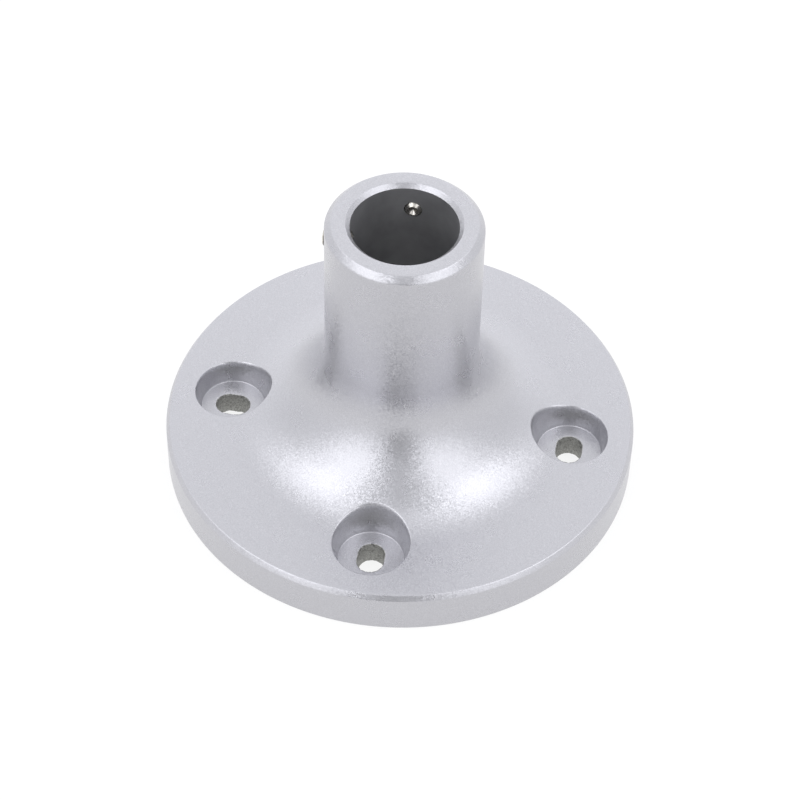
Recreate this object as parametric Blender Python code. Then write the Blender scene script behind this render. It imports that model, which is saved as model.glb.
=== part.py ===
"""Round flanged base that holds an upright pole: one die casting and its two radial set screws.

Frame: origin at the centre of the mounting face, +Z up along the pole, +Y towards the rear set screw,
-X towards the left one. Units are metres.
"""

import math

import bpy
from mathutils import Matrix

MM = 0.001

# Flange
FLANGE_RADIUS = 50.0 * MM
RIM_HEIGHT = 8.5 * MM
RIM_CHAMFER_WIDTH = 0.73 * MM
RIM_CHAMFER_HEIGHT = 1.11 * MM
RIM_THICKNESS = 4.0 * MM
SKIN = 4.1 * MM

# Socket for the pole
TUBE_RADIUS = 16.05 * MM
TUBE_TOP = 66.0 * MM
TUBE_CHAMFER = 1.3 * MM
FILLET_RADIUS = 22.0 * MM
FILLET_TOP = 32.3 * MM
BORE_RADIUS = 10.95 * MM
BORE_CHAMFER = 0.87 * MM
SEAT_HEIGHT = 10.0 * MM
CABLE_HOLE_RADIUS = 9.0 * MM
HUB_BOTTOM = 6.0 * MM
HUB_WALL = 5.05 * MM
HUB_DRAFT = 0.6 * MM

# Screw seats
SEAT_PITCH_RADIUS = 36.65 * MM
SEAT_FLOOR = 5.3 * MM
SEAT_FLOOR_RADIUS = 6.9 * MM
SEAT_MOUTH_RADIUS = 7.9 * MM
SEAT_MOUTH_HEIGHT = 10.2 * MM
SLOT_WIDTH = 5.7 * MM
SLOT_LENGTH = 7.5 * MM
BOSS_RADIUS = 9.6 * MM
# azimuth of each seat, and whether its slot lies along the radius
SEATS = {"right": (0, False), "rear": (90, False), "left": (180, True), "front": (270, True)}

# Underside
RIB_AZIMUTHS = (45, 135, 225, 315)
RIB_THICKNESS = 2.4 * MM
RIB_BOTTOM = 1.5 * MM

# Set screws, M4 with a cup point, drawn without thread at its middle diameter
SCREW_HEIGHT = 59.5 * MM
SCREW_AZIMUTHS = {"set_screw_rear": 90, "set_screw_left": 180}
SCREW_RADIUS = 1.8 * MM
SCREW_LENGTH = 6.0 * MM
SCREW_PROUD = 0.4 * MM
SCREW_CHAMFER = 0.35 * MM
SCREW_CLEARANCE = 0.07 * MM
CUP_RADIUS = 1.0 * MM
CUP_DEPTH = 0.7 * MM
SOCKET_ACROSS_FLATS = 2.0 * MM
SOCKET_DEPTH = 2.2 * MM

# How finely round shapes are cut
FLANGE_SEGMENTS = 80
BOSS_SEGMENTS = 32
SCREW_SEGMENTS = 24
FILLET_STEPS = 12
CEILING_STEPS = 7
OVERSHOOT = 2.0 * MM
SHARP_ANGLE = math.radians(25)


def clear_scene():
    for obj in list(bpy.data.objects):
        bpy.data.objects.remove(obj, do_unlink=True)


def make_material(name, colour, roughness, metallic):
    material = bpy.data.materials.new(name)
    material.use_nodes = True
    shader = material.node_tree.nodes["Principled BSDF"]
    shader.inputs["Base Color"].default_value = (*colour, 1.0)
    shader.inputs["Roughness"].default_value = roughness
    shader.inputs["Metallic"].default_value = metallic
    return material


def add_object(name, vertices, faces):
    mesh = bpy.data.meshes.new(name)
    mesh.from_pydata(vertices, [], faces)
    mesh.update()
    obj = bpy.data.objects.new(name, mesh)
    bpy.context.scene.collection.objects.link(obj)
    return obj


def turned(name, outline, segments, phase=0.0):
    """Closed solid of revolution about Z. The outline is a closed loop of (radius, height) points that runs
    anticlockwise in the half plane, so its faces point out; radius 0 is a point on the axis. The phase turns
    the facets by that part of one segment."""
    vertices = []
    rings = []
    for radius, height in outline:
        if radius == 0:
            rings.append([len(vertices)] * segments)
            vertices.append((0.0, 0.0, height))
            continue
        rings.append(list(range(len(vertices), len(vertices) + segments)))
        for k in range(segments):
            angle = 2 * math.pi * (k + phase) / segments
            vertices.append((radius * math.cos(angle), radius * math.sin(angle), height))
    faces = []
    for i, ring in enumerate(rings):
        following = rings[(i + 1) % len(rings)]
        for k in range(segments):
            n = (k + 1) % segments
            corners = [ring[k], ring[n], following[n], following[k]]
            corners = list(dict.fromkeys(corners))
            if len(corners) > 2:
                faces.append(corners)
    return add_object(name, vertices, faces)


def prism(name, outline, bottom, top):
    """Closed solid between two heights. The outline is a loop of (x, y) points, anticlockwise from above."""
    count = len(outline)
    vertices = [(x, y, bottom) for x, y in outline] + [(x, y, top) for x, y in outline]
    faces = [list(reversed(range(count))), list(range(count, 2 * count))]
    for i in range(count):
        n = (i + 1) % count
        faces.append([i, n, n + count, i + count])
    return add_object(name, vertices, faces)


def slot_outline(length, width, steps):
    """Obround along X, centred on the origin."""
    end = (length - width) / 2
    points = []
    for centre, start in ((end, -math.pi / 2), (-end, math.pi / 2)):
        for k in range(steps + 1):
            angle = start + math.pi * k / steps
            points.append((centre + width / 2 * math.cos(angle), width / 2 * math.sin(angle)))
    return points


def rectangle(x_low, x_high, width):
    half = width / 2
    return [(x_low, -half), (x_high, -half), (x_high, half), (x_low, half)]


def cut(obj, cutters):
    """Subtract all the cutters in one Boolean; they stay in the scene as guides."""
    group = bpy.data.collections.new("cutters_of_" + obj.name)
    bpy.context.scene.collection.children.link(group)
    for cutter in cutters:
        bpy.context.scene.collection.objects.unlink(cutter)
        group.objects.link(cutter)
        cutter.hide_render = True
        cutter.display_type = "WIRE"
    modifier = obj.modifiers.new("cut", "BOOLEAN")
    modifier.operation = "DIFFERENCE"
    modifier.solver = "EXACT"
    modifier.operand_type = "COLLECTION"
    modifier.collection = group


def turn_to(obj, azimuth):
    """Swing an object that was made along +X to its azimuth round the pole axis."""
    obj.matrix_world = Matrix.Rotation(math.radians(azimuth), 4, "Z") @ obj.matrix_world


def finish(obj, material):
    obj.data.materials.append(material)
    obj.data.shade_smooth()
    obj.data.set_sharp_from_angle(angle=SHARP_ANGLE)


def fillet_arc(radius, start, end, steps):
    """Points on a circle round the fillet's centre; angles are in radians from +X in the half plane."""
    centre = (TUBE_RADIUS + FILLET_RADIUS, FILLET_TOP)
    points = []
    for k in range(steps + 1):
        angle = start + (end - start) * k / steps
        points.append((centre[0] + radius * math.cos(angle), centre[1] + radius * math.sin(angle)))
    return points


def cone_tangent_angle():
    """Where the straight line from the rim's edge touches the fillet circle."""
    edge_x = FLANGE_RADIUS - RIM_CHAMFER_WIDTH - (TUBE_RADIUS + FILLET_RADIUS)
    edge_z = RIM_HEIGHT + RIM_CHAMFER_HEIGHT - FILLET_TOP
    distance = math.hypot(edge_x, edge_z)
    return math.atan2(edge_z, edge_x) - math.acos(FILLET_RADIUS / distance)


def casting_outline():
    rim_edge = (FLANGE_RADIUS - RIM_CHAMFER_WIDTH, RIM_HEIGHT + RIM_CHAMFER_HEIGHT)
    outside = [(FLANGE_RADIUS, 0.0), (FLANGE_RADIUS, RIM_HEIGHT), rim_edge]
    outside += fillet_arc(FILLET_RADIUS, cone_tangent_angle(), -math.pi, FILLET_STEPS)
    outside += [
        (TUBE_RADIUS, TUBE_TOP - TUBE_CHAMFER),
        (TUBE_RADIUS - TUBE_CHAMFER, TUBE_TOP),
    ]
    inside = [
        (BORE_RADIUS + BORE_CHAMFER, TUBE_TOP),
        (BORE_RADIUS, TUBE_TOP - BORE_CHAMFER),
        (BORE_RADIUS, SEAT_HEIGHT),
        (CABLE_HOLE_RADIUS, SEAT_HEIGHT),
        (CABLE_HOLE_RADIUS, 0.0),
    ]
    return outside + inside


def core_outline():
    """Hollow under the flange: it follows the outer skin up to the hub, and clears the hub's lower end."""
    ceiling_radius = FILLET_RADIUS + SKIN
    hub_radius = BORE_RADIUS + HUB_WALL
    top_radius = hub_radius + HUB_DRAFT
    reach = (TUBE_RADIUS + FILLET_RADIUS - top_radius) / ceiling_radius
    last = -math.pi + math.acos(reach)
    return [
        (0, -OVERSHOOT),
        (FLANGE_RADIUS - RIM_THICKNESS, -OVERSHOOT),
        (FLANGE_RADIUS - RIM_THICKNESS, FILLET_TOP - ceiling_radius),
        *fillet_arc(ceiling_radius, -math.pi / 2, last, CEILING_STEPS),
        (hub_radius, HUB_BOTTOM),
        (0, HUB_BOTTOM),
    ]


def place_at_seat(obj, azimuth):
    obj.location.x = SEAT_PITCH_RADIUS
    bpy.context.view_layer.update()
    turn_to(obj, azimuth)


def underside_core():
    """What the hollow takes away: the turned core without the screw bosses and the ribs."""
    core = turned("core_cutter", core_outline(), FLANGE_SEGMENTS)
    kept = []
    for side, (azimuth, _) in SEATS.items():
        outline = [
            (0, -2 * OVERSHOOT),
            (BOSS_RADIUS, -2 * OVERSHOOT),
            (BOSS_RADIUS, SEAT_MOUTH_HEIGHT),
            (0, SEAT_MOUTH_HEIGHT),
        ]
        boss = turned("boss_guide_" + side, outline, BOSS_SEGMENTS, phase=0.5)
        place_at_seat(boss, azimuth)
        kept.append(boss)
    for azimuth in RIB_AZIMUTHS:
        outline = rectangle(BORE_RADIUS + HUB_WALL - 0.1 * MM, FLANGE_RADIUS, RIB_THICKNESS)
        rib = prism("rib_guide_%d" % azimuth, outline, RIB_BOTTOM, FILLET_TOP)
        turn_to(rib, azimuth)
        kept.append(rib)
    cut(core, kept)
    return core


def seat_cutters(side, azimuth, radial_slot):
    """Counterbore for the head of a mounting screw, and the slot for its shank."""
    taper = (SEAT_MOUTH_RADIUS - SEAT_FLOOR_RADIUS) / (SEAT_MOUTH_HEIGHT - SEAT_FLOOR)
    top = SEAT_MOUTH_HEIGHT + 2 * OVERSHOOT
    outline = [
        (0, SEAT_FLOOR),
        (SEAT_FLOOR_RADIUS, SEAT_FLOOR),
        (SEAT_MOUTH_RADIUS + 2 * taper * OVERSHOOT, top),
        (0, top),
    ]
    counterbore = turned("counterbore_cutter_" + side, outline, BOSS_SEGMENTS, phase=0.5)
    slot = prism(
        "slot_cutter_" + side, slot_outline(SLOT_LENGTH, SLOT_WIDTH, 12), -OVERSHOOT, SEAT_FLOOR + OVERSHOOT
    )
    if not radial_slot:
        slot.rotation_euler.z = math.pi / 2
    for cutter in (counterbore, slot):
        place_at_seat(cutter, azimuth)
    return [counterbore, slot]


def screw_hole_cutter(name, azimuth):
    radius = SCREW_RADIUS + SCREW_CLEARANCE
    outline = [(0, 0), (radius, 0), (radius, TUBE_RADIUS), (0, TUBE_RADIUS)]
    hole = turned("hole_cutter_" + name, outline, SCREW_SEGMENTS)
    place_radially(hole, azimuth, 0.4 * TUBE_RADIUS)
    return hole


def make_casting(material):
    casting = turned("base_casting", casting_outline(), FLANGE_SEGMENTS)
    cutters = [underside_core()]
    for side, (azimuth, radial_slot) in SEATS.items():
        cutters += seat_cutters(side, azimuth, radial_slot)
    cutters += [screw_hole_cutter(name, azimuth) for name, azimuth in SCREW_AZIMUTHS.items()]
    cut(casting, cutters)
    finish(casting, material)


def place_radially(obj, azimuth, start):
    """Lay an object that was turned about Z along the screw axis, pointing out of the tube."""
    lean = Matrix.Rotation(math.pi / 2, 4, "Y")
    swing = Matrix.Rotation(math.radians(azimuth), 4, "Z")
    obj.matrix_world = swing @ Matrix.Translation((start, 0, SCREW_HEIGHT)) @ lean


def make_set_screw(name, azimuth, material):
    outline = [
        (0, CUP_DEPTH),
        (CUP_RADIUS, 0),
        (SCREW_RADIUS - 2 * SCREW_CHAMFER + 0.2 * MM, 0),
        (SCREW_RADIUS, SCREW_CHAMFER),
        (SCREW_RADIUS, SCREW_LENGTH - SCREW_CHAMFER),
        (SCREW_RADIUS - SCREW_CHAMFER, SCREW_LENGTH),
        (0, SCREW_LENGTH),
    ]
    screw = turned(name, outline, SCREW_SEGMENTS)
    corner = SOCKET_ACROSS_FLATS / math.sqrt(3)
    hexagon = [(corner * math.cos(k * math.pi / 3), corner * math.sin(k * math.pi / 3)) for k in range(6)]
    socket = prism("socket_cutter_" + name, hexagon, SCREW_LENGTH - SOCKET_DEPTH, SCREW_LENGTH + OVERSHOOT)
    start = TUBE_RADIUS + SCREW_PROUD - SCREW_LENGTH
    place_radially(screw, azimuth, start)
    place_radially(socket, azimuth, start)
    cut(screw, [socket])
    finish(screw, material)


def main():
    clear_scene()
    silver = make_material("silver_casting", (0.60, 0.61, 0.63), 0.38, 0.85)
    make_casting(silver)
    for name, azimuth in SCREW_AZIMUTHS.items():
        nickel = make_material(name + "_nickel", (0.62, 0.60, 0.56), 0.25, 1.0)
        make_set_screw(name, azimuth, nickel)


main()
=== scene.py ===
"""Looks of the round pole base: a silver coated die casting with two nickel plated set screws.

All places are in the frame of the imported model: origin at the centre of the mounting face, +Z up along
the pole, +Y towards the rear set screw, -X towards the left one. Units are metres.
"""

import math

import bmesh
import bpy
import numpy as np
from mathutils import Matrix, Vector, noise


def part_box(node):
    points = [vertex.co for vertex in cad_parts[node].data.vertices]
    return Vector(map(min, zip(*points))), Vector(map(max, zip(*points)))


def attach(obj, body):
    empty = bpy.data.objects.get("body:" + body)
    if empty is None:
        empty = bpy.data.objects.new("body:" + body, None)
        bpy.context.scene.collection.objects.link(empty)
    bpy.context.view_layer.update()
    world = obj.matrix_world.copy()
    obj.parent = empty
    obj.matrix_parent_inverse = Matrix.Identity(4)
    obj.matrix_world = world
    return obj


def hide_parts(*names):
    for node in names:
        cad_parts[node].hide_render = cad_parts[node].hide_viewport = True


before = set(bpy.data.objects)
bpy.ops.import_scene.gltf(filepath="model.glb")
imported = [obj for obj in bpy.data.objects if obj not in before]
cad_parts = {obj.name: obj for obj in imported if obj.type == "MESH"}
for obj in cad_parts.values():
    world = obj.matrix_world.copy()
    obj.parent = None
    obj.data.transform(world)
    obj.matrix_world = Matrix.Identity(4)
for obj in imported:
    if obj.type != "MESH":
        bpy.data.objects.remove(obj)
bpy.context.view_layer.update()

MM = 0.001

# Flange and rim
FLANGE_RADIUS = 50.0 * MM
RIM_HEIGHT = 8.5 * MM
RIM_CHAMFER_WIDTH = 0.73 * MM
RIM_CHAMFER_HEIGHT = 1.11 * MM
RIM_EDGE_ROUNDING = 0.25 * MM
RIM_WALL_ROUNDING = 0.35 * MM
RIM_FOOT_ROUNDING = 0.08 * MM
RIM_FOOT_WIDTH = 0.3 * MM
RIM_THICKNESS = 4.0 * MM
SKIN = 4.1 * MM

# Socket
TUBE_RADIUS = 16.05 * MM
TUBE_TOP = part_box("base_casting")[1][2]
TUBE_CHAMFER = 1.3 * MM
TUBE_CHAMFER_ROUNDING = 0.7 * MM
TUBE_TOP_ROUNDING = 0.35 * MM
MOUTH_ROUNDING = 0.15 * MM
FILLET_RADIUS = 22.0 * MM
FILLET_TOP = 32.3 * MM
BORE_RADIUS = 10.95 * MM
BORE_CHAMFER = 0.87 * MM
LEDGE_HEIGHT = 10.0 * MM
LEDGE_FOOT_ROUNDING = 0.2 * MM
LEDGE_EDGE_ROUNDING = 0.3 * MM
CABLE_HOLE_RADIUS = 9.0 * MM
HUB_BOTTOM = 6.0 * MM
HUB_WALL = 5.05 * MM
HUB_DRAFT = 0.6 * MM

# Counterbored seats for the fixing screws
SEAT_PITCH_RADIUS = 36.65 * MM
SEAT_FLOOR = 5.3 * MM
SEAT_FLOOR_RADIUS = 6.9 * MM
SEAT_WALL_SLOPE = 4.9
SEAT_LIP_BLEND = 1.5 * MM
SEAT_FOOT_BLEND = 1.0 * MM
# azimuth in degrees, and whether the slot lies along the radius
SEATS = ((0, False), (90, False), (180, True), (270, True))

# Slots: their walls stand a little inside the outline, with coarse and fine roughness, and chips out of
# the upper edge. Each has a size along the wall in metres and a height in millimetres.
SLOT_WIDTH = 5.7 * MM
SLOT_LENGTH = 7.5 * MM
SLOT_LIP = 0.01
SLOT_INSET = 0.12 * MM
SLOT_ENTRY_DEPTH = 0.12 * MM
SLOT_DEPTHS = np.concatenate([[0.0, 0.05, 0.12, 0.22], np.linspace(0.4, 5.1, 16), [5.3]]) * MM
COARSE_SIZE = 0.9 * MM
COARSE_HEIGHT = 0.10
FINE_SIZE = 0.35 * MM
FINE_HEIGHT = 0.07
CHIP_SIZE = 0.55 * MM
CHIP_HEIGHT = 0.7
CHIP_DEPTH = 0.7 * MM
CHIP_THRESHOLD = 0.12

# Underside; the bosses are (radius, height, rounding) from the mounting face up into the skin
SCREW_BOSS_RADIUS = 9.6 * MM
BOSS_OUTLINE = (
    (0, -4 * MM, 0),
    (SCREW_BOSS_RADIUS, -4 * MM, 0),
    (SCREW_BOSS_RADIUS, 4.6 * MM, 0),
    (SCREW_BOSS_RADIUS + 0.5 * MM, 5.8 * MM, 2.0 * MM),
    (SCREW_BOSS_RADIUS + 2.5 * MM, 7.6 * MM, 0),
    (SCREW_BOSS_RADIUS + 2.5 * MM, 11 * MM, 0),
    (0, 11 * MM, 0),
)
BOSS_COLUMNS = 61
BELOW_FACE = -2 * MM
RIM_INSIDE_DRAFT = 0.1 * MM
CEILING_ROUNDING = 1.2 * MM
HUB_ROUNDING = 0.4 * MM
RIB_AZIMUTHS = (45, 135, 225, 315)
RIB_THICKNESS = 2.4 * MM
RIB_BOTTOM = 1.5 * MM
RIB_ROUNDING = 0.4 * MM
RIB_EDGE_INSET = 0.2 * MM
RIB_ROOT_SPREAD = 0.5 * MM
RIB_MIDDLE = 8 * MM

# Set screws
SCREW_HEIGHT = 59.5 * MM
SCREW_AZIMUTHS = {"set_screw_rear": 90, "set_screw_left": 180}
SCREW_BODIES = {"set_screw_rear": "rear_screw", "set_screw_left": "left_screw"}
SCREW_RADIUS = 1.8 * MM
SCREW_ROOT_RADIUS = 1.47 * MM
SCREW_PITCH = 0.7 * MM
SCREW_LENGTH = 6.0 * MM
SCREW_PROUD = 0.4 * MM
SCREW_COLUMNS = 72
SCREW_ROWS_PER_TURN = 18
POINT_CONE_RADIUS = 1.15 * MM
POINT_CONE_SLOPE = 1.2
HEAD_CONE_RADIUS = 1.5 * MM
HEAD_FACE_RADIUS = 1.42 * MM
HEXAGON_APOTHEM = 1.0 * MM
HEXAGON_CHAMFER_RADIUS = 1.18 * MM
HEXAGON_CHAMFER_DEPTH = 0.12 * MM
HEXAGON_MIDDLE = 1.2 * MM
HEXAGON_DEPTH = 2.2 * MM
# cup of the point, from its middle out: radius and height
CUP = (
    (0, 0.75 * MM),
    (0.25 * MM, 0.66 * MM),
    (0.6 * MM, 0.38 * MM),
    (0.95 * MM, 0.06 * MM),
    (1.03 * MM, 0),
)

# Threaded holes for them, a little wider than the screws so that the screws can slide through
HOLE_RADIUS = 1.85 * MM
HOLE_ROOT_RADIUS = 2.1 * MM
HOLE_COLUMNS = 48
HOLE_ROWS_PER_TURN = 8
HOLE_SINK = 0.2 * MM
HOLE_SINK_START = 0.3 * MM
HOLE_PLAIN_END = 0.25 * MM

# Fineness of the casting's grid: columns in a quarter turn and along each side of a quarter, where the
# grids meet, and how many rows each has
ARC_COLUMNS = 48
SIDE_COLUMNS = 28
TURN_COLUMNS = 4 * ARC_COLUMNS
JOIN_RADIUS = 25.5 * MM
RIM_JOIN_RADIUS = 48.6 * MM
SEAT_PATCH_RADIUS = 9.2 * MM
FIELD_ROWS = 21
FIELD_CROWDING = 1.5
WALL_ROWS = 46
WALL_SAMPLES = 900
WALL_BEND_WEIGHT = 0.6 * MM
WALL_OVERRUN = 0.7 * MM
FLOOR_ROWS = 7
FACE_ROWS = 5
WELD_DISTANCE = 1e-7
DEGENERATE_DISTANCE = 1e-8

# Largest angles, in degrees, between faces that are shaded as one smooth surface
CASTING_SMOOTH = 28
SCREW_SMOOTH = 35

# Slots of the materials on the casting
PAINT, RAW, BORE, UNDERSIDE = range(4)


# ---------------------------------------------------------------- profiles

def rounded(corners, step=math.radians(9)):
    """Outline through (x, z, radius) corners, with each corner rounded by an arc of its radius."""
    points = []
    for i, (x, z, radius) in enumerate(corners):
        here = np.array([x, z])
        if radius == 0 or i in (0, len(corners) - 1):
            points.append(here)
            continue
        before = np.array(corners[i - 1][:2]) - here
        after = np.array(corners[i + 1][:2]) - here
        before /= np.linalg.norm(before)
        after /= np.linalg.norm(after)
        half = math.acos(float(np.clip(before @ after, -1, 1))) / 2
        reach = radius / math.tan(half)
        middle = before + after
        centre = here + middle / np.linalg.norm(middle) * radius / math.sin(half)
        start = here + before * reach - centre
        end = here + after * reach - centre
        first = math.atan2(start[1], start[0])
        sweep = (math.atan2(end[1], end[0]) - first + math.pi) % (2 * math.pi) - math.pi
        count = max(3, round(abs(sweep) / step))
        for k in range(count + 1):
            angle = first + sweep * k / count
            points.append(centre + radius * np.array([math.cos(angle), math.sin(angle)]))
    return np.array(points)


def divided(points, spacing):
    """The same outline with its long stretches divided."""
    result = [points[0]]
    for start, end in zip(points[:-1], points[1:]):
        count = max(1, math.ceil(np.linalg.norm(end - start) / spacing))
        result += [start + (end - start) * k / count for k in range(1, count + 1)]
    return np.array(result)


FILLET_CENTRE = (TUBE_RADIUS + FILLET_RADIUS, FILLET_TOP)
RIM_EDGE = (FLANGE_RADIUS - RIM_CHAMFER_WIDTH, RIM_HEIGHT + RIM_CHAMFER_HEIGHT)


def cone_tangent_angle():
    """Where the straight line from the rim's edge touches the fillet circle."""
    x = RIM_EDGE[0] - FILLET_CENTRE[0]
    z = RIM_EDGE[1] - FILLET_CENTRE[1]
    return math.atan2(z, x) - math.acos(FILLET_RADIUS / math.hypot(x, z))


TANGENT = cone_tangent_angle()
TANGENT_POINT = (
    FILLET_CENTRE[0] + FILLET_RADIUS * math.cos(TANGENT),
    FILLET_CENTRE[1] + FILLET_RADIUS * math.sin(TANGENT),
)


def top_height(radius):
    """Height of the flange's upper skin at a distance from the pole axis."""
    radius = np.asarray(radius)
    slope = (RIM_EDGE[1] - TANGENT_POINT[1]) / (RIM_EDGE[0] - TANGENT_POINT[0])
    cone = TANGENT_POINT[1] + slope * (radius - TANGENT_POINT[0])
    across = np.clip(radius - FILLET_CENTRE[0], -FILLET_RADIUS, FILLET_RADIUS)
    fillet = FILLET_CENTRE[1] - np.sqrt(FILLET_RADIUS**2 - across**2)
    return np.where(radius > TANGENT_POINT[0], cone, fillet)


def fillet_arc(radius, start, end, count):
    """Corners without rounding along a circle round the fillet's centre."""
    return [
        (FILLET_CENTRE[0] + radius * math.cos(angle), FILLET_CENTRE[1] + radius * math.sin(angle), 0)
        for angle in np.linspace(start, end, count)
    ]


def smooth_min(a, b, width):
    """The smaller of two values, with the change between them blended over a width."""
    h = np.maximum(width - np.abs(a - b), 0) / width
    return np.minimum(a, b) - h * h * width / 4


def smooth_max(a, b, width):
    return -smooth_min(-a, -b, width)


# ---------------------------------------------------------------- mesh building

class Skin:
    """Collects grids of points as quads, then welds them into one mesh."""

    def __init__(self):
        self.points = []
        self.quads = []
        self.marks = []
        self.count = 0

    def grid(self, rows, mark):
        """Adds rows of points, shape (rows, columns, 3). The faces look out when the columns run
        anticlockwise, seen from the end that the rows run towards."""
        rows = np.asarray(rows)
        height, width, _ = rows.shape
        index = self.count + np.arange(height * width).reshape(height, width)
        following = np.roll(index, -1, axis=1)
        quads = np.stack([index[:-1], following[:-1], following[1:], index[1:]], axis=-1).reshape(-1, 4)
        self.points.append(rows.reshape(-1, 3))
        self.quads.append(quads)
        self.marks.append(np.full(len(quads), mark))
        self.count += height * width

    def disc(self, ring, centre, mark):
        """Closes a ring of points with a fan round its centre."""
        ring = np.asarray(ring)
        self.grid(np.stack([ring, np.repeat([centre], len(ring), axis=0)]), mark)

    def build(self, name, materials):
        mesh = bpy.data.meshes.new(name)
        mesh.from_pydata(np.concatenate(self.points).tolist(), [], np.concatenate(self.quads).tolist())
        mesh.polygons.foreach_set("material_index", np.concatenate(self.marks).astype(np.int32))
        for material in materials:
            mesh.materials.append(material)
        obj = bpy.data.objects.new(name, mesh)
        bpy.context.scene.collection.objects.link(obj)
        weld(obj)
        return obj


def weld(obj):
    """Joins the grids where they meet, and removes the flat faces at the middle of a fan."""
    bm = bmesh.new()
    bm.from_mesh(obj.data)
    bmesh.ops.remove_doubles(bm, verts=bm.verts, dist=WELD_DISTANCE)
    bmesh.ops.dissolve_degenerate(bm, edges=bm.edges, dist=DEGENERATE_DISTANCE)
    bm.to_mesh(obj.data)
    bm.free()


def turned_rows(outline, columns=TURN_COLUMNS):
    """Rows of a turned surface: each point of the outline swept round the pole axis."""
    angles = 2 * np.pi * np.arange(columns) / columns
    radius = outline[:, 0][:, None]
    height = np.repeat(outline[:, 1][:, None], columns, axis=1)
    return np.stack([radius * np.cos(angles), radius * np.sin(angles), height], axis=-1)


def swung(points, azimuth):
    """Points turned about the pole axis."""
    c = math.cos(math.radians(azimuth))
    s = math.sin(math.radians(azimuth))
    x, y, z = np.moveaxis(points, -1, 0)
    return np.stack([c * x - s * y, s * x + c * y, z], axis=-1)


def quarter_boundary(inner, outer):
    """Outline of a quarter of the flange round +X, anticlockwise from its outer corner at -45 degrees."""
    quarter = math.pi / 4
    along = np.arange(ARC_COLUMNS) / ARC_COLUMNS
    side = np.arange(SIDE_COLUMNS) / SIDE_COLUMNS
    angles = np.concatenate([
        -quarter + 2 * quarter * along,
        np.full(SIDE_COLUMNS, quarter),
        quarter - 2 * quarter * along,
        np.full(SIDE_COLUMNS, -quarter),
    ])
    radii = np.concatenate([
        np.full(ARC_COLUMNS, outer),
        outer + (inner - outer) * side,
        np.full(ARC_COLUMNS, inner),
        inner + (outer - inner) * side,
    ])
    return np.stack([radii * np.cos(angles), radii * np.sin(angles)], axis=-1)


def seat_angles(boundary):
    """Directions from the seat's centre that spread its columns evenly over the quarter."""
    seen = np.unwrap(np.arctan2(boundary[:, 1], boundary[:, 0] - SEAT_PITCH_RADIUS))
    even = seen[0] + 2 * np.pi * np.arange(len(boundary)) / len(boundary)
    return (seen + even) / 2


def seat_wall(angle):
    """Curve from the patch's edge over the lip, down the wall and onto the floor, evenly stepped round its
    bends; columns are distance from the seat's centre and height."""
    reach = np.linspace(SEAT_PATCH_RADIUS, SEAT_FLOOR_RADIUS - WALL_OVERRUN, WALL_SAMPLES)
    x = SEAT_PITCH_RADIUS + reach * math.cos(angle)
    y = reach * math.sin(angle)
    wall = SEAT_FLOOR + (reach - SEAT_FLOOR_RADIUS) * SEAT_WALL_SLOPE
    height = smooth_min(top_height(np.hypot(x, y)), wall, SEAT_LIP_BLEND)
    height = smooth_max(height, np.full_like(height, SEAT_FLOOR), SEAT_FOOT_BLEND)
    length = np.hypot(np.diff(reach), np.diff(height))
    bend = np.abs(np.diff(np.arctan2(np.diff(height), -np.diff(reach)), append=0))
    bend[-1] = 0
    weight = np.concatenate([[0], np.cumsum(length + bend * WALL_BEND_WEIGHT)])
    samples = np.linspace(0, weight[-1], WALL_ROWS)
    return np.interp(samples, weight, reach), np.interp(samples, weight, height)


def slot_reach(angle, radial):
    """Distance from the seat's centre to the slot's edge in a direction."""
    turn = angle if radial else angle + math.pi / 2
    half = SLOT_WIDTH / 2
    end = (SLOT_LENGTH - SLOT_WIDTH) / 2
    c = abs(math.cos(turn))
    s = abs(math.sin(turn))
    if half * c <= s * end:
        return half / s
    return end * c + math.sqrt(half**2 - (end * s) ** 2)


def roughness_at(x, y, z, scale, seed):
    """Smooth random value between -1 and 1, the same in each run."""
    return noise.noise(Vector((x / scale + seed, y / scale - seed, z / scale)))


def add_seat(skin, azimuth, radial):
    """A quarter of the flange's top with its counterbore, and the slot down to the mounting face."""
    boundary = quarter_boundary(JOIN_RADIUS, RIM_JOIN_RADIUS)
    angles = seat_angles(boundary)
    centre = np.array([SEAT_PITCH_RADIUS, 0.0])
    rays = np.stack([np.cos(angles), np.sin(angles)], axis=-1)

    start = centre + SEAT_PATCH_RADIUS * rays
    steps = np.linspace(0, 1, FIELD_ROWS) ** FIELD_CROWDING
    flat = start[None] + (boundary - start)[None] * steps[:, None, None]
    height = top_height(np.hypot(flat[..., 0], flat[..., 1]))
    field = np.concatenate([flat, height[..., None]], axis=-1)
    skin.grid(swung(field[::-1], azimuth), PAINT)

    curves = [seat_wall(angle) for angle in angles]
    reach = np.array([curve[0] for curve in curves]).T
    height = np.array([curve[1] for curve in curves]).T
    places = centre + reach[..., None] * rays[None]
    wall = np.concatenate([places, height[..., None]], axis=-1)
    skin.grid(swung(wall, azimuth), PAINT)

    edge = np.array([slot_reach(angle, radial) for angle in angles])
    lip = centre + (edge * (1 + SLOT_LIP))[:, None] * rays
    lip = np.concatenate([lip, np.full((len(lip), 1), SEAT_FLOOR)], axis=-1)
    skin.grid(swung(rows_between(wall[-1], lip, FLOOR_ROWS), azimuth), PAINT)

    slot = slot_wall(lip, rays, edge, azimuth, radial)
    skin.grid(swung(slot, azimuth), RAW)

    outside = quarter_boundary(CABLE_HOLE_RADIUS, FLANGE_RADIUS - RIM_FOOT_WIDTH)
    outside = np.concatenate([outside, np.zeros((len(outside), 1))], axis=-1)
    skin.grid(swung(rows_between(slot[-1], outside, FACE_ROWS), azimuth), UNDERSIDE)


def rows_between(start, end, count):
    """Rows of points at even steps from one row to another."""
    return start[None] + (end - start)[None] * np.linspace(0, 1, count)[:, None, None]


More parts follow.
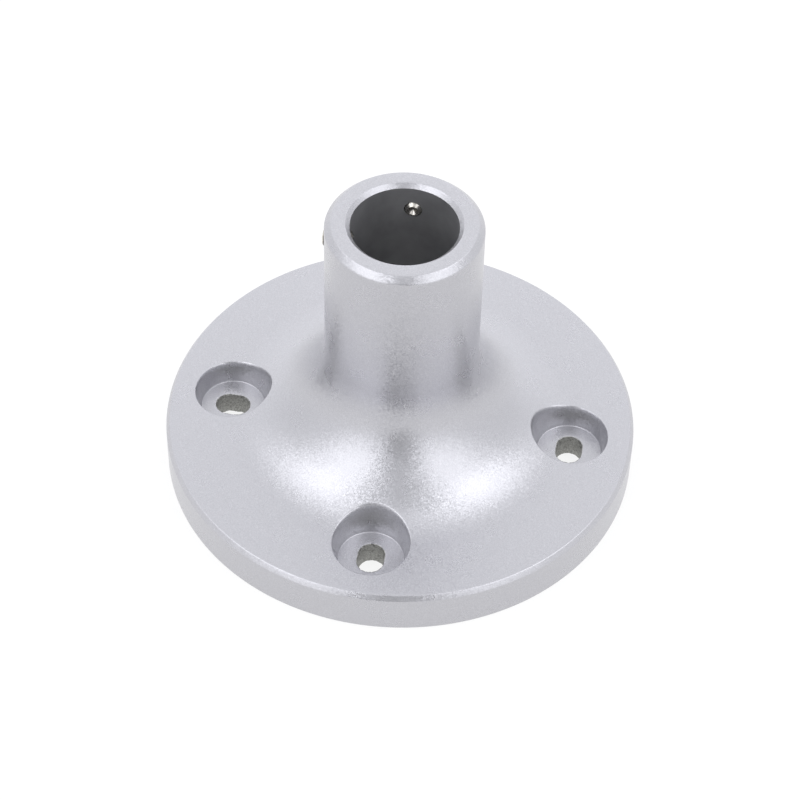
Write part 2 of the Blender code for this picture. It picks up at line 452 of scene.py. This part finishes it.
def slot_wall(lip, rays, edge, azimuth, radial):
    """Rows of a slot's rough wall, from its lip down to the mounting face. Only the slots that lie along
    the radius have chips out of their upper edge."""
    rows = [lip]
    for depth in SLOT_DEPTHS[1:]:
        row = []
        for ray, distance in zip(rays, edge):
            x = SEAT_PITCH_RADIUS + distance * ray[0]
            y = distance * ray[1]
            rough = roughness_at(x, y, depth, COARSE_SIZE, azimuth) * COARSE_HEIGHT * MM
            rough += roughness_at(x, y, depth, FINE_SIZE, azimuth + 7) * FINE_HEIGHT * MM
            peak = max(0.0, roughness_at(x, y, 0, CHIP_SIZE, azimuth + 3) - CHIP_THRESHOLD)
            chip = peak * CHIP_HEIGHT * MM * max(0.0, 1 - depth / CHIP_DEPTH) if radial else 0.0
            entry = SLOT_LIP * distance * max(0.0, 1 - depth / SLOT_ENTRY_DEPTH) ** 2
            away = distance - SLOT_INSET + entry + rough + chip
            row.append((SEAT_PITCH_RADIUS + away * ray[0], away * ray[1], SEAT_FLOOR - depth))
        rows.append(row)
    rows = np.array(rows)
    rows[-1, :, 2] = 0.0
    return rows


def casting_skin(materials):
    """The casting's outside, the bore and a flat mounting face, before anything is cut from it."""
    skin = Skin()
    for azimuth, radial in SEATS:
        add_seat(skin, azimuth, radial)

    # rim: from the flange's top over its edge and down to the mounting face
    rim = rounded([
        (RIM_JOIN_RADIUS, float(top_height(RIM_JOIN_RADIUS)), 0),
        (*RIM_EDGE, RIM_EDGE_ROUNDING),
        (FLANGE_RADIUS, RIM_HEIGHT, RIM_WALL_ROUNDING),
        (FLANGE_RADIUS, 0.0, RIM_FOOT_ROUNDING),
        (FLANGE_RADIUS - RIM_FOOT_WIDTH, 0.0, 0),
    ])
    skin.grid(turned_rows(divided(rim, 0.8 * MM)[::-1]), PAINT)

    # fillet, socket, mouth
    start = math.atan2(float(top_height(JOIN_RADIUS)) - FILLET_CENTRE[1], JOIN_RADIUS - FILLET_CENTRE[0])
    socket = rounded(fillet_arc(FILLET_RADIUS, start % (2 * math.pi), math.pi, 30) + [
        (TUBE_RADIUS, TUBE_TOP - TUBE_CHAMFER, TUBE_CHAMFER_ROUNDING),
        (TUBE_RADIUS - TUBE_CHAMFER, TUBE_TOP, TUBE_TOP_ROUNDING),
        (BORE_RADIUS + BORE_CHAMFER, TUBE_TOP, MOUTH_ROUNDING),
        (BORE_RADIUS, TUBE_TOP - BORE_CHAMFER, 0),
    ])
    skin.grid(turned_rows(divided(socket, 1.2 * MM)), PAINT)

    # bore, ledge that the pole stands on, cable hole
    bore = rounded([
        (BORE_RADIUS, TUBE_TOP - BORE_CHAMFER, 0),
        (BORE_RADIUS, LEDGE_HEIGHT, LEDGE_FOOT_ROUNDING),
        (CABLE_HOLE_RADIUS, LEDGE_HEIGHT, LEDGE_EDGE_ROUNDING),
        (CABLE_HOLE_RADIUS, 0.0, 0),
    ])
    # the bore's faces take the darker material that carries painted shade
    skin.grid(turned_rows(divided(bore, 1.5 * MM)), BORE)
    return skin.build("casting", materials)


# ---------------------------------------------------------------- cutters

def turned_solid(name, corners, columns, materials):
    """Closed turned solid; its outline runs up the outside from the axis below to the axis above."""
    skin = Skin()
    skin.grid(turned_rows(divided(rounded(corners), 2.0 * MM), columns), UNDERSIDE)
    return skin.build(name, materials)


def core_solid(materials):
    """What the hollow under the flange takes away, without the bosses and ribs."""
    ceiling_radius = FILLET_RADIUS + SKIN
    ceiling = FILLET_TOP - ceiling_radius
    rim_inside = FLANGE_RADIUS - RIM_THICKNESS
    hub_radius = BORE_RADIUS + HUB_WALL
    hub_top_radius = hub_radius + HUB_DRAFT
    last = math.pi + math.acos((FILLET_CENTRE[0] - hub_top_radius) / ceiling_radius)
    core = turned_solid("core", [
        (0, BELOW_FACE, 0),
        (rim_inside, BELOW_FACE, 0),
        (rim_inside - RIM_INSIDE_DRAFT, ceiling, CEILING_ROUNDING),
        *fillet_arc(ceiling_radius, 1.5 * math.pi, last, 16),
        (hub_radius, HUB_BOTTOM, HUB_ROUNDING),
        (0, HUB_BOTTOM, 0),
    ], TURN_COLUMNS, materials)
    kept = []
    for azimuth, _ in SEATS:
        boss = turned_solid("boss", BOSS_OUTLINE, BOSS_COLUMNS, materials)
        place = Matrix.Translation((SEAT_PITCH_RADIUS, 0, 0))
        boss.matrix_world = Matrix.Rotation(math.radians(azimuth), 4, "Z") @ place
        kept.append(boss)
    for azimuth in RIB_AZIMUTHS:
        rib = rib_solid(materials)
        rib.matrix_world = Matrix.Rotation(math.radians(azimuth), 4, "Z")
        kept.append(rib)
    cut(core, kept)
    return core


def rib_solid(materials):
    """A rib along +X, a little thicker at its root than at its edge."""
    start = BORE_RADIUS + HUB_WALL - 0.1 * MM
    outline = rounded([
        (0, RIB_BOTTOM, 0),
        (RIB_THICKNESS / 2 - RIB_EDGE_INSET, RIB_BOTTOM, RIB_ROUNDING),
        (RIB_THICKNESS / 2 + RIB_ROOT_SPREAD, FILLET_TOP, 0),
        (0, FILLET_TOP, 0),
    ])
    half = np.concatenate([outline, outline[::-1][1:-1] * [-1, 1]])
    rows = [
        np.stack([np.full(len(half), x), half[:, 0], half[:, 1]], axis=-1)
        for x in (start, FLANGE_RADIUS)
    ]
    skin = Skin()
    skin.grid(rows, UNDERSIDE)
    skin.disc(rows[1], (FLANGE_RADIUS, 0, RIB_MIDDLE), UNDERSIDE)
    skin.disc(rows[0][::-1], (start, 0, RIB_MIDDLE), UNDERSIDE)
    return skin.build("rib", materials)


def thread_wave(turns):
    """Height of a thread's flanks, 0 at the root and 1 at the crest, with narrow flats on both."""
    phase = np.abs((turns % 1.0) * 2 - 1)
    return np.clip(phase * 1.25 - 0.1, 0, 1)


def thread_rows(inner, outer, start, end, columns, rows_per_turn):
    """Radius, angle and height of the rows of a threaded cylinder along +Z between two heights."""
    count = max(2, round((end - start) / SCREW_PITCH * rows_per_turn))
    height = np.linspace(start, end, count + 1)[:, None]
    angles = 2 * np.pi * np.arange(columns)[None] / columns
    turns = height / SCREW_PITCH - angles / (2 * np.pi)
    radius = inner + (outer - inner) * thread_wave(turns)
    return radius, angles, np.repeat(height, columns, axis=1)


def round_rows(radius, angles, height):
    return np.stack([radius * np.cos(angles), radius * np.sin(angles), height], axis=-1)


def screw_hole_solid(azimuth, materials):
    """Threaded hole through the socket's wall, with a small countersink at its outer end."""
    start = BORE_RADIUS - 2 * MM
    end = TUBE_RADIUS + 1.5 * MM
    radius, angles, height = thread_rows(
        HOLE_RADIUS, HOLE_ROOT_RADIUS, start, end, HOLE_COLUMNS, HOLE_ROWS_PER_TURN
    )
    sink = HOLE_ROOT_RADIUS + height - (TUBE_RADIUS - HOLE_SINK)
    radius = np.maximum(radius, np.where(height > TUBE_RADIUS - HOLE_SINK_START, sink, 0))
    radius = np.where(height < BORE_RADIUS + HOLE_PLAIN_END, HOLE_RADIUS, radius)
    rows = round_rows(radius, angles, height)
    skin = Skin()
    skin.grid(rows, RAW)
    skin.disc(rows[-1], (0, 0, end), RAW)
    skin.disc(rows[0][::-1], (0, 0, start), RAW)
    hole = skin.build("screw_hole", materials)
    hole.matrix_world = along_screw(azimuth, 0)
    return hole


def along_screw(azimuth, start):
    """Lays what was made along +Z on a set screw's axis, pointing out of the socket."""
    lean = Matrix.Rotation(math.pi / 2, 4, "Y")
    swing = Matrix.Rotation(math.radians(azimuth), 4, "Z")
    return swing @ Matrix.Translation((start, 0, SCREW_HEIGHT)) @ lean


def cut(obj, cutters):
    """Subtracts the cutters in one Boolean, applies it and removes them."""
    group = bpy.data.collections.new("cutters")
    for cutter in cutters:
        group.objects.link(cutter)
    modifier = obj.modifiers.new("cut", "BOOLEAN")
    modifier.operation = "DIFFERENCE"
    modifier.solver = "MANIFOLD"
    modifier.operand_type = "COLLECTION"
    modifier.collection = group
    depsgraph = bpy.context.evaluated_depsgraph_get()
    result = bpy.data.meshes.new_from_object(obj.evaluated_get(depsgraph))
    obj.modifiers.clear()
    obj.data = result
    for cutter in cutters:
        bpy.data.objects.remove(cutter, do_unlink=True)
    bpy.data.collections.remove(group)


def shade(obj, angle):
    """Smooth shading, with an edge kept sharp where its faces meet at more than the angle in degrees."""
    obj.data.shade_smooth()
    obj.data.set_sharp_from_angle(angle=math.radians(angle))


# ---------------------------------------------------------------- set screws

def set_screw(name, azimuth, material):
    """Hex socket set screw with a rolled thread and a cup point. +Z points out of the socket's wall."""
    radius, angles, height = thread_rows(
        SCREW_ROOT_RADIUS, SCREW_RADIUS, 0, SCREW_LENGTH, SCREW_COLUMNS, SCREW_ROWS_PER_TURN
    )
    point_end = POINT_CONE_RADIUS + height * POINT_CONE_SLOPE
    head_end = HEAD_CONE_RADIUS + (SCREW_LENGTH - height)
    radius = np.minimum(radius, np.minimum(point_end, head_end))
    body = round_rows(radius, angles, height)
    skin = Skin()
    skin.grid(body, 0)

    ring = angles[0]
    sector = math.pi / 3
    hexagon = HEXAGON_APOTHEM / np.cos((ring + sector / 2) % sector - sector / 2)

    def rim(distance, level):
        distance = np.broadcast_to(distance, ring.shape)
        return round_rows(distance, ring, np.full(len(ring), level))

    socket_floor = SCREW_LENGTH - HEXAGON_DEPTH
    skin.grid([
        body[-1],
        rim(HEAD_FACE_RADIUS, SCREW_LENGTH),
        rim(np.maximum(hexagon, HEXAGON_CHAMFER_RADIUS), SCREW_LENGTH),
        rim(hexagon, SCREW_LENGTH - HEXAGON_CHAMFER_DEPTH),
        rim(hexagon, SCREW_LENGTH - HEXAGON_MIDDLE),
        rim(hexagon, socket_floor),
        rim(hexagon * 0.5, socket_floor - 0.25 * MM),
        rim(0, socket_floor - 0.45 * MM),
    ], 0)
    skin.grid([rim(distance, level) for distance, level in CUP] + [body[0]], 0)
    screw = skin.build(name + "_threaded", [material])
    screw.data.transform(along_screw(azimuth, TUBE_RADIUS + SCREW_PROUD - SCREW_LENGTH))
    shade(screw, SCREW_SMOOTH)
    return screw


# ---------------------------------------------------------------- materials

# The values between which a noise mostly stays
NOISE_LOW = 0.3
NOISE_HIGH = 0.7


def new_material(name, colour, roughness, metallic):
    """Material with one shader; the values on the shader stand for its average look."""
    material = bpy.data.materials.new(name)
    material.use_nodes = True
    nodes = material.node_tree.nodes
    shader = nodes["Principled BSDF"]
    shader.inputs["Base Color"].default_value = (*colour, 1)
    shader.inputs["Roughness"].default_value = roughness
    shader.inputs["Metallic"].default_value = metallic
    return material, nodes, material.node_tree.links, shader


def add_noise(nodes, links, scale, detail, stretch=(1, 1, 1)):
    """Noise in the object's own coordinates; scale is the size of its grains in metres."""
    place = nodes.new("ShaderNodeTexCoord")
    mapping = nodes.new("ShaderNodeMapping")
    mapping.inputs["Scale"].default_value = stretch
    texture = nodes.new("ShaderNodeTexNoise")
    texture.inputs["Scale"].default_value = 1 / scale
    texture.inputs["Detail"].default_value = detail
    links.new(place.outputs["Object"], mapping.inputs["Vector"])
    links.new(mapping.outputs["Vector"], texture.inputs["Vector"])
    return texture


def add_colours(nodes, links, source, shader, stops):
    """Colours the shader by a noise: stops are pairs of a noise value and a colour."""
    ramp = nodes.new("ShaderNodeValToRGB")
    elements = ramp.color_ramp.elements
    while len(elements) < len(stops):
        elements.new(0.5)
    for element, (position, colour) in zip(elements, stops):
        element.position = position
        element.color = (*colour, 1)
    links.new(source, ramp.inputs["Fac"])
    links.new(ramp.outputs["Color"], shader.inputs["Base Color"])


def add_roughness(nodes, links, source, shader, low, high):
    """Spreads the shader's roughness over a range by a noise."""
    scaling = nodes.new("ShaderNodeMapRange")
    scaling.inputs["From Min"].default_value = NOISE_LOW
    scaling.inputs["From Max"].default_value = NOISE_HIGH
    scaling.inputs["To Min"].default_value = low
    scaling.inputs["To Max"].default_value = high
    links.new(source, scaling.inputs["Value"])
    links.new(scaling.outputs["Result"], shader.inputs["Roughness"])


def add_bump(nodes, links, height, distance, shader):
    bump = nodes.new("ShaderNodeBump")
    bump.inputs["Distance"].default_value = distance
    links.new(height, bump.inputs["Height"])
    links.new(bump.outputs["Normal"], shader.inputs["Normal"])
    return bump


def add_flakes(nodes, links, size, tilt, below, shader):
    """Tilts the surface by a random small angle in each flake, on top of the bump below."""
    place = nodes.new("ShaderNodeTexCoord")
    flakes = nodes.new("ShaderNodeTexVoronoi")
    flakes.inputs["Scale"].default_value = 1 / size
    links.new(place.outputs["Object"], flakes.inputs["Vector"])
    centred = nodes.new("ShaderNodeVectorMath")
    centred.operation = "SUBTRACT"
    centred.inputs[1].default_value = [0.5] * 3
    links.new(flakes.outputs["Color"], centred.inputs[0])
    tilted = nodes.new("ShaderNodeVectorMath")
    tilted.operation = "MULTIPLY_ADD"
    tilted.inputs[1].default_value = [tilt] * 3
    links.new(centred.outputs["Vector"], tilted.inputs[0])
    links.new(below.outputs["Normal"], tilted.inputs[2])
    level = nodes.new("ShaderNodeVectorMath")
    level.operation = "NORMALIZE"
    links.new(tilted.outputs["Vector"], level.inputs[0])
    links.new(level.outputs["Vector"], shader.inputs["Normal"])


def silver_paint():
    """Metallic silver coat: fine bright flakes in a satin film over the cast surface."""
    material, nodes, links, shader = new_material("silver_paint", (0.49, 0.487, 0.515), 0.28, 0.75)
    tone = add_noise(nodes, links, 0.21 * MM, 1)
    add_colours(nodes, links, tone.outputs["Fac"], shader, [
        (0.28, (0.45, 0.447, 0.472)),
        (0.52, (0.49, 0.487, 0.513)),
        (0.75, (0.55, 0.547, 0.575)),
    ])
    cloud = add_noise(nodes, links, 6 * MM, 3)
    add_roughness(nodes, links, cloud.outputs["Fac"], shader, 0.265, 0.305)
    waves = add_noise(nodes, links, 3.5 * MM, 2)
    cast = add_bump(nodes, links, waves.outputs["Fac"], 0.008 * MM, shader)
    add_flakes(nodes, links, 0.2 * MM, 0.15, cast, shader)
    return material


def raw_metal():
    """Cast and deburred walls of the slots and the tapped holes, where the coat didn't reach."""
    material, nodes, links, shader = new_material("raw_casting", (0.3, 0.3, 0.285), 0.55, 0.7)
    pits = add_noise(nodes, links, 0.4 * MM, 4)
    add_colours(nodes, links, pits.outputs["Fac"], shader, [
        (0.34, (0.19, 0.19, 0.178)),
        (0.66, (0.46, 0.46, 0.44)),
    ])
    add_roughness(nodes, links, pits.outputs["Fac"], shader, 0.45, 0.65)
    add_bump(nodes, links, pits.outputs["Fac"], 0.06 * MM, shader)
    return material


def bore_metal_painted_shade():
    """Machined bore: its darker grey is painted shade of the dim inside of the bore, with faint rings from
    the tool.
    """
    # grey darker than the coat: painted shade of the dim inside of the bore
    material, nodes, links, shader = new_material("bore_casting_painted_shade", (0.33, 0.33, 0.34), 0.45, 0.75)
    stain = add_noise(nodes, links, 5 * MM, 4)
    add_colours(nodes, links, stain.outputs["Fac"], shader, [
        (NOISE_LOW, (0.31, 0.31, 0.32)),
        (NOISE_HIGH, (0.385, 0.385, 0.397)),
    ])
    rings = add_noise(nodes, links, 2.5 * MM, 3, (1, 1, 14))
    add_roughness(nodes, links, rings.outputs["Fac"], shader, 0.4, 0.5)
    add_bump(nodes, links, rings.outputs["Fac"], 0.01 * MM, shader)
    return material


def underside_metal():
    """The hollow under the flange: thinly coated, coarser cast surface."""
    material, nodes, links, shader = new_material("underside_casting", (0.42, 0.43, 0.44), 0.5, 0.9)
    cast = add_noise(nodes, links, 0.6 * MM, 4)
    add_colours(nodes, links, cast.outputs["Fac"], shader, [
        (NOISE_LOW, (0.36, 0.365, 0.375)),
        (NOISE_HIGH, (0.48, 0.485, 0.495)),
    ])
    add_roughness(nodes, links, cast.outputs["Fac"], shader, 0.44, 0.56)
    add_bump(nodes, links, cast.outputs["Fac"], 0.05 * MM, shader)
    return material


def nickel_steel():
    """Bright nickel plated steel of the set screws, with slight stains."""
    material, nodes, links, shader = new_material("nickel_steel", (0.66, 0.63, 0.58), 0.22, 1.0)
    stain = add_noise(nodes, links, 0.8 * MM, 3)
    add_colours(nodes, links, stain.outputs["Fac"], shader, [
        (NOISE_LOW, (0.55, 0.52, 0.47)),
        (NOISE_HIGH, (0.74, 0.71, 0.66)),
    ])
    add_roughness(nodes, links, stain.outputs["Fac"], shader, 0.16, 0.3)
    add_bump(nodes, links, stain.outputs["Fac"], 0.006 * MM, shader)
    return material


def floor_material():
    """Translucent sheet of a light table, lit from below, so that hardly a shadow falls on it."""
    material, nodes, links, shader = new_material("light_table", (0.12, 0.12, 0.12), 0.8, 0.0)
    sheet = add_noise(nodes, links, 2 * MM, 2)
    add_colours(nodes, links, sheet.outputs["Fac"], shader, [
        (NOISE_LOW, (0.115, 0.115, 0.115)),
        (NOISE_HIGH, (0.125, 0.125, 0.125)),
    ])
    shader.inputs["Emission Color"].default_value = (1, 1, 1, 1)
    shader.inputs["Emission Strength"].default_value = TABLE_GLOW
    return material


# ---------------------------------------------------------------- studio

CAMERA_AZIMUTH = math.radians(8.39)
CAMERA_ELEVATION = math.radians(47.863)
CAMERA_ROLL = math.radians(1.378)
CAMERA_DISTANCE = 540.42 * MM
CAMERA_TARGET = Vector((0.0, 0.0, 13.73 * MM))
CAMERA_LENS = 114.21
CAMERA_SENSOR = 36.0
CAMERA_CLIP = (0.01, 50)
CAMERA_AIM_RIGHT = -0.12 * MM
CAMERA_AIM_UP = 0.11 * MM

# Light table under the part
TABLE_RADIUS = 3.0
TABLE_COLUMNS = 96
TABLE_GAP = 0.2 * MM
TABLE_GLOW = 0.85

# Light tent: brightness of its wall and below the table, with the heights between which one turns into the
# other, and the soft panels on it. A panel is its azimuth and elevation in degrees from the camera's side,
# the angles from its middle where it is full and where it has faded, and its strength.
TENT_WALL = 1.02
TENT_FLOOR = 0.8
TENT_HORIZON = (-0.2, 0.1)
TENT_COLOUR = (0.985, 0.995, 1.02, 1)
TENT_PANELS = (
    (-38.5, 45, 6, 47.5, 1.24),
    (38.5, 45, 6, 47.5, 1.00),
    (-100, 58.5, 5, 25, 0.98),
    (100, 58.5, 5, 25, 1.22),
    (180, 8, 20, 60, 0.33),
)
# Dark slit up the middle of the camera's side: the angles to each side where it is full and where it has
# faded, the brightness left in it, and the nearness to the camera's side over which it comes in
SLIT_EDGE = (5.8, 24.8)
SLIT_BRIGHTNESS = 0.22
SLIT_START = (0, 0.25)


def view_axes():
    """Right, up and back of the camera before its roll."""
    right = Vector((math.cos(CAMERA_AZIMUTH), math.sin(CAMERA_AZIMUTH), 0))
    level = Vector((math.sin(CAMERA_AZIMUTH), -math.cos(CAMERA_AZIMUTH), 0))
    back = level * math.cos(CAMERA_ELEVATION) + Vector((0, 0, math.sin(CAMERA_ELEVATION)))
    return right, back.cross(right), back


def add_camera():
    right, up, back = view_axes()
    c = math.cos(CAMERA_ROLL)
    s = math.sin(CAMERA_ROLL)
    rolled_right = right * c + up * s
    rolled_up = up * c - right * s
    turn = Matrix((rolled_right, rolled_up, back)).transposed()
    data = bpy.data.cameras.new("camera")
    data.lens = CAMERA_LENS
    data.sensor_width = CAMERA_SENSOR
    data.clip_start, data.clip_end = CAMERA_CLIP
    camera = bpy.data.objects.new("camera", data)
    aim = CAMERA_TARGET + CAMERA_AIM_RIGHT * rolled_right + CAMERA_AIM_UP * rolled_up
    camera.matrix_world = Matrix.Translation(aim + back * CAMERA_DISTANCE) @ turn.to_4x4()
    bpy.context.scene.collection.objects.link(camera)
    bpy.context.scene.camera = camera


def sky_direction(azimuth, elevation):
    """Azimuth 0 is behind the camera, positive to its right; degrees."""
    turn = CAMERA_AZIMUTH + math.radians(azimuth)
    rise = math.radians(elevation)
    return Vector((math.sin(turn) * math.cos(rise), -math.cos(turn) * math.cos(rise), math.sin(rise)))


def along(nodes, links, place, direction):
    """Cosine of the angle between a place in the sky and a direction."""
    dot = nodes.new("ShaderNodeVectorMath")
    dot.operation = "DOT_PRODUCT"
    dot.inputs[1].default_value = direction
    links.new(place, dot.inputs[0])
    return dot.outputs["Value"]


def math_node(nodes, links, operation, *sources):
    node = nodes.new("ShaderNodeMath")
    node.operation = operation
    for socket, source in zip(node.inputs, sources):
        links.new(source, socket)
    return node.outputs["Value"]


def soft_step(nodes, links, source, source_range, target_range):
    """Smooth change from one end of the target range to the other over the source range."""
    step = nodes.new("ShaderNodeMapRange")
    step.interpolation_type = "SMOOTHSTEP"
    step.inputs["From Min"].default_value, step.inputs["From Max"].default_value = source_range
    step.inputs["To Min"].default_value, step.inputs["To Max"].default_value = target_range
    links.new(source, step.inputs["Value"])
    return step.outputs["Result"]


def light_tent():
    """White tent round the table with soft panels, and a dark slit on the camera's side."""
    world = bpy.data.worlds.new("light_tent")
    world.use_nodes = True
    nodes = world.node_tree.nodes
    links = world.node_tree.links
    place = nodes.new("ShaderNodeTexCoord").outputs["Generated"]

    height = along(nodes, links, place, Vector((0, 0, 1)))
    brightness = soft_step(nodes, links, height, TENT_HORIZON, (TENT_FLOOR, TENT_WALL))
    for azimuth, elevation, full, faded, strength in TENT_PANELS:
        nearness = along(nodes, links, place, sky_direction(azimuth, elevation))
        edge = (math.cos(math.radians(faded)), math.cos(math.radians(full)))
        panel = soft_step(nodes, links, nearness, edge, (0, strength))
        brightness = math_node(nodes, links, "ADD", brightness, panel)

    aside = math_node(nodes, links, "ABSOLUTE", along(nodes, links, place, sky_direction(90, 0)))
    edge = [math.sin(math.radians(angle)) for angle in SLIT_EDGE]
    slit = soft_step(nodes, links, aside, edge, (1 - SLIT_BRIGHTNESS, 0))
    ahead = along(nodes, links, place, sky_direction(0, 0))
    near_side = soft_step(nodes, links, ahead, SLIT_START, (0, 1))
    darkening = math_node(nodes, links, "MULTIPLY", slit, near_side)
    lost = math_node(nodes, links, "MULTIPLY", brightness, darkening)
    left = math_node(nodes, links, "SUBTRACT", brightness, lost)

    background = nodes["Background"]
    background.inputs["Color"].default_value = TENT_COLOUR
    links.new(left, background.inputs["Strength"])
    return world


def add_studio():
    bpy.ops.mesh.primitive_circle_add(
        vertices=TABLE_COLUMNS, radius=TABLE_RADIUS, fill_type="NGON", location=(0, 0, -TABLE_GAP)
    )
    floor = bpy.context.object
    floor.name = "floor"
    floor.data.materials.append(floor_material())
    bpy.context.scene.world = light_tent()
    bpy.context.scene.view_settings.view_transform = "Standard"


# ---------------------------------------------------------------- assembly

def make_casting():
    materials = [silver_paint(), raw_metal(), bore_metal_painted_shade(), underside_metal()]
    casting = casting_skin(materials)
    cutters = [core_solid(materials)]
    cutters += [screw_hole_solid(azimuth, materials) for azimuth in SCREW_AZIMUTHS.values()]
    cut(casting, cutters)
    shade(casting, CASTING_SMOOTH)
    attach(casting, "base")
    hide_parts("base_casting")


def make_set_screws():
    material = nickel_steel()
    for name, azimuth in SCREW_AZIMUTHS.items():
        screw = set_screw(name, azimuth, material)
        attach(screw, SCREW_BODIES[name])
        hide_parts(name)


make_casting()
make_set_screws()
add_studio()
add_camera()
